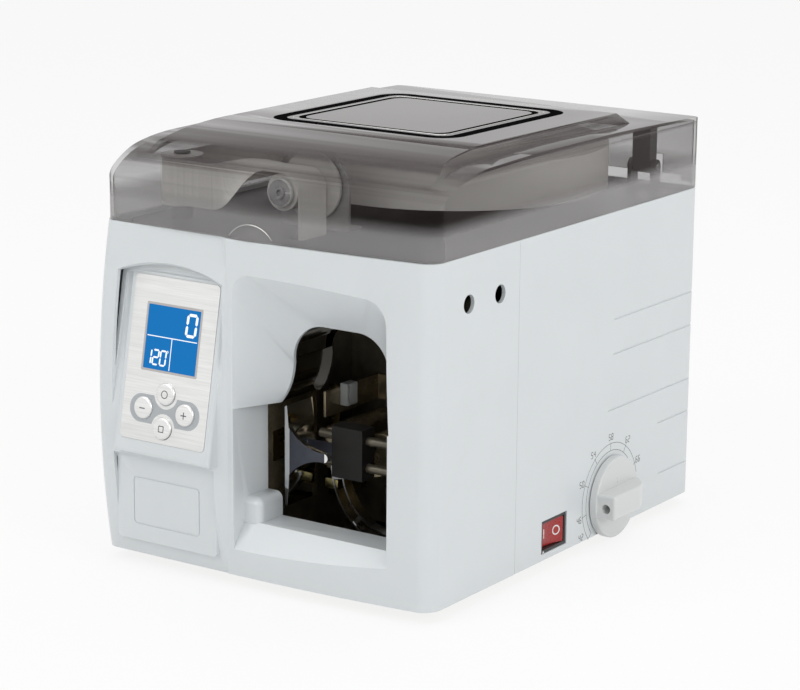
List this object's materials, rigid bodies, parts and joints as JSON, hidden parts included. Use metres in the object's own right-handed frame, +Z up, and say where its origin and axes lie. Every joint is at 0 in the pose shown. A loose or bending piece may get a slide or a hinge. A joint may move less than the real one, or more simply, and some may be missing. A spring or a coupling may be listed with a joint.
{
  "type": "banknote strapping machine",
  "caption": "Countertop machine that bands banknote bundles with paper tape; side throat, smoked lid over the tape roll, display panel and length dial.",
  "frame": {"origin": "bottom centre of the whole object's box, on the plane of the four feet", "axes": "+Z up, -Y out of the front where the panel and throat are, +X towards the side with dial and switch"},
  "size_m": [0.2746, 0.3559, 0.2862],
  "materials": {
    "black_plastic": "satin",
    "board": "matt",
    "brass": "turned",
    "bright_steel": "ground",
    "case_plastic": "moulded satin white",
    "chrome": "polished",
    "circuit_board": "satin",
    "clear_plastic": "clear",
    "dark_steel": "black satin",
    "deck_grey": "matt",
    "inlay_grey": "satin",
    "key_metal": "satin",
    "knob_white": "satin",
    "laminated_iron": "varnished",
    "lcd_glass": "backlit blue",
    "panel_steel": "brushed",
    "paper": "matt",
    "red_plastic": "gloss",
    "roller_white": "satin",
    "rubber": "matt",
    "smoked_acrylic": "smoked transparent",
    "zinc_steel": "yellow zinc plated"
  },
  "bodies": {
    "root": {"base_plate": "zinc_steel", "rubber_feet": "rubber", "front_shell": "case_plastic", "rear_shell": "case_plastic", "top_deck": "deck_grey", "hinge_brackets": "dark_steel", "hinge_pins": "bright_steel", "left_frame": "dark_steel", "right_frame": "dark_steel", "front_bulkhead": "dark_steel", "rear_bulkhead": "dark_steel", "frame_screws": "bright_steel", "anvil_plate": "zinc_steel", "tape_track": "zinc_steel", "note_rail": "dark_steel", "note_sensor": "clear_plastic", "clamp_rods": "bright_steel", "clamp_motor": "bright_steel", "head_bracket": "bright_steel", "drive_motor": "bright_steel", "feed_motor": "bright_steel", "pinch_yoke": "zinc_steel", "tension_screws": "bright_steel", "tension_springs": "bright_steel", "tape_spindle": "black_plastic", "roller_bracket": "zinc_steel", "roller_cap": "roller_white", "tape_strip": "paper", "panel_plate": "panel_steel", "lcd_window": "lcd_glass", "display_board": "circuit_board", "switch_housing": "black_plastic", "power_inlet": "black_plastic", "power_supply": "laminated_iron"},
    "lid_body": {"lid": "smoked_acrylic", "lid_inlay": "inlay_grey", "hinge_arms": "dark_steel"},
    "tape_supply": {"tape_roll": "paper", "tape_core": "board", "roll_hub": "black_plastic"},
    "side_roller_body": {"side_guide_roller": "roller_white"},
    "top_roller_body": {"top_guide_roller": "roller_white"},
    "feed_roller_body": {"feed_roller": "rubber"},
    "pinch_roller_body": {"pinch_roller": "bright_steel"},
    "cam_body": {"cam_shaft": "bright_steel", "cam_gear": "brass", "cam_set": "bright_steel", "crank_disc": "chrome"},
    "pinion_body": {"motor_pinion": "brass"},
    "clamp_body": {"clamp_jaw": "chrome"},
    "heater_body": {"heater_block": "brass"},
    "cutter_body": {"cutter_blade": "bright_steel"},
    "dial_body": {"dial_knob": "knob_white", "dial_shaft": "bright_steel"},
    "note_stop_body": {"note_stop": "zinc_steel"},
    "rocker_body": {"rocker": "red_plastic"},
    "clear_key_body": {"button_clear": "key_metal"},
    "set_key_body": {"button_set": "key_metal"},
    "minus_key_body": {"button_minus": "key_metal"},
    "plus_key_body": {"button_plus": "key_metal"}
  },
  "joints": [
    {"name": "lid_hinge", "type": "hinge", "parent": "root", "child": "lid_body", "pos_m": [-0.00975, 0.16875, 0.24], "axis": [-1, 0, 0], "range_deg": [0, 100]},
    {"name": "tape_roll_spin", "type": "hinge", "parent": "root", "child": "tape_supply", "pos_m": [-0.00775, 0.05175, 0.236], "axis": [0, 0, 1], "continuous": true},
    {"name": "side_roller_spin", "type": "hinge", "parent": "root", "child": "side_roller_body", "pos_m": [-0.10875, -0.11225, 0.2345], "axis": [0, 0, 1], "continuous": true},
    {"name": "top_roller_spin", "type": "hinge", "parent": "root", "child": "top_roller_body", "pos_m": [-0.01795, -0.10925, 0.2534], "axis": [0, 1, 0], "continuous": true},
    {"name": "feed_roller_spin", "type": "hinge", "parent": "root", "child": "feed_roller_body", "pos_m": [-0.01795, -0.10925, 0.198], "axis": [0, 1, 0], "continuous": true},
    {"name": "pinch_roller_spin", "type": "hinge", "parent": "root", "child": "pinch_roller_body", "pos_m": [0.00445, -0.10925, 0.198], "axis": [0, 1, 0], "continuous": true},
    {"name": "cam_shaft_spin", "type": "hinge", "parent": "root", "child": "cam_body", "pos_m": [0.05625, -0.02825, 0.05], "axis": [0, 1, 0], "continuous": true},
    {"name": "motor_pinion_spin", "type": "hinge", "parent": "root", "child": "pinion_body", "pos_m": [0.05625, -0.02825, 0.083], "axis": [0, 1, 0], "continuous": true},
    {"name": "dial_turn", "type": "hinge", "parent": "root", "child": "dial_body", "pos_m": [0.11775, 0.06355, 0.0318], "axis": [1, 0, 0], "range_deg": [-188.26, 40.93]},
    {"name": "rocker_tilt", "type": "hinge", "parent": "root", "child": "rocker_body", "pos_m": [0.11025, -0.00845, 0.0237], "axis": [0, 0, 1], "range_deg": [0, 14]},
    {"name": "note_stop_slide", "type": "slide", "parent": "root", "child": "note_stop_body", "axis": [0, 1, 0], "range_m": [-0.005, 0.023]},
    {"name": "clamp_slide", "type": "slide", "parent": "root", "child": "clamp_body", "axis": [1, 0, 0], "range_m": [-0.009, 0]},
    {"name": "heater_slide", "type": "slide", "parent": "root", "child": "heater_body", "axis": [1, 0, 0], "range_m": [0, 0.0018]},
    {"name": "cutter_slide", "type": "slide", "parent": "root", "child": "cutter_body", "axis": [1, 0, 0], "range_m": [0, 0.003]},
    {"name": "clear_key_press", "type": "slide", "parent": "root", "child": "clear_key_body", "axis": [0, 0.9831, -0.1833], "range_m": [0, 0.0015], "stiffness_N_per_m": 400},
    {"name": "set_key_press", "type": "slide", "parent": "root", "child": "set_key_body", "axis": [0, 0.9831, -0.1833], "range_m": [0, 0.0015], "stiffness_N_per_m": 400},
    {"name": "minus_key_press", "type": "slide", "parent": "root", "child": "minus_key_body", "axis": [0, 0.9831, -0.1833], "range_m": [0, 0.0015], "stiffness_N_per_m": 400},
    {"name": "plus_key_press", "type": "slide", "parent": "root", "child": "plus_key_body", "axis": [0, 0.9831, -0.1833], "range_m": [0, 0.0015], "stiffness_N_per_m": 400}
  ],
  "couplings": [
    {"joint": "dial_turn", "follows": "note_stop_slide", "rad_per_m": -142.86},
    {"joint": "side_roller_spin", "follows": "tape_roll_spin", "ratio": 8.3077},
    {"joint": "top_roller_spin", "follows": "tape_roll_spin", "ratio": 9},
    {"joint": "feed_roller_spin", "follows": "tape_roll_spin", "ratio": 9},
    {"joint": "pinch_roller_spin", "follows": "tape_roll_spin", "ratio": -10.8},
    {"joint": "motor_pinion_spin", "follows": "cam_shaft_spin", "ratio": -3.125}
  ]
}
